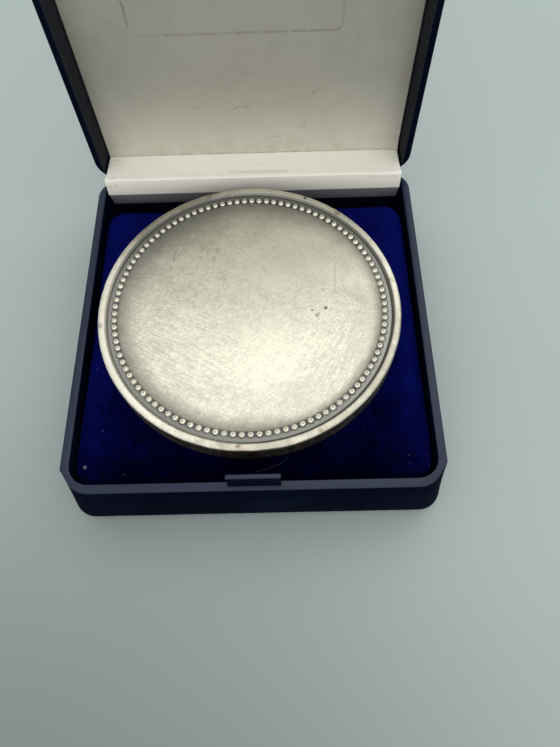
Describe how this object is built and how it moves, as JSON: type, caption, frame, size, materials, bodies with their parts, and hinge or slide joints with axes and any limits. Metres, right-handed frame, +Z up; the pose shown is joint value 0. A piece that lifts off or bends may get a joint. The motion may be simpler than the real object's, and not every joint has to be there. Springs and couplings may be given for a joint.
{
  "type": "commemorative medal in a hinged presentation box",
  "caption": "Thick round beaded-rim medal with a bare field, lying on the velvet pad of an open, round-cornered presentation box with a hinged lid and a catch tongue.",
  "frame": {"origin": "centre of the box base's flat underside, on the surface that the box stands on", "axes": "+X to the right of a person looking into the open box, +Y from the catch at the front to the hinge at the back, +Z up out of the base"},
  "size_m": [0.0852, 0.0991, 0.106],
  "materials": {
    "medal": "antique silver plate, worn satin with dark patina in the recesses",
    "box_shell": "fine satin navy blue moulding",
    "velvet": "royal blue velvet",
    "hinge_leaf": "satin white covering over the hinge",
    "lining": "smooth warm off-white lining"
  },
  "bodies": {
    "base": {"box_base": "box_shell", "velvet_pad": "velvet", "medal": "medal", "base_hinge_leaf": "hinge_leaf"},
    "lid": {"box_lid": "box_shell", "lid_lining": "lining", "lid_hinge_leaf": "hinge_leaf"}
  },
  "joints": [
    {"name": "lid_hinge", "type": "hinge", "parent": "base", "child": "lid", "pos_m": [0, 0.04285, 0.02035], "axis": [1, 0, 0], "range_deg": [0, 92.2]}
  ]
}
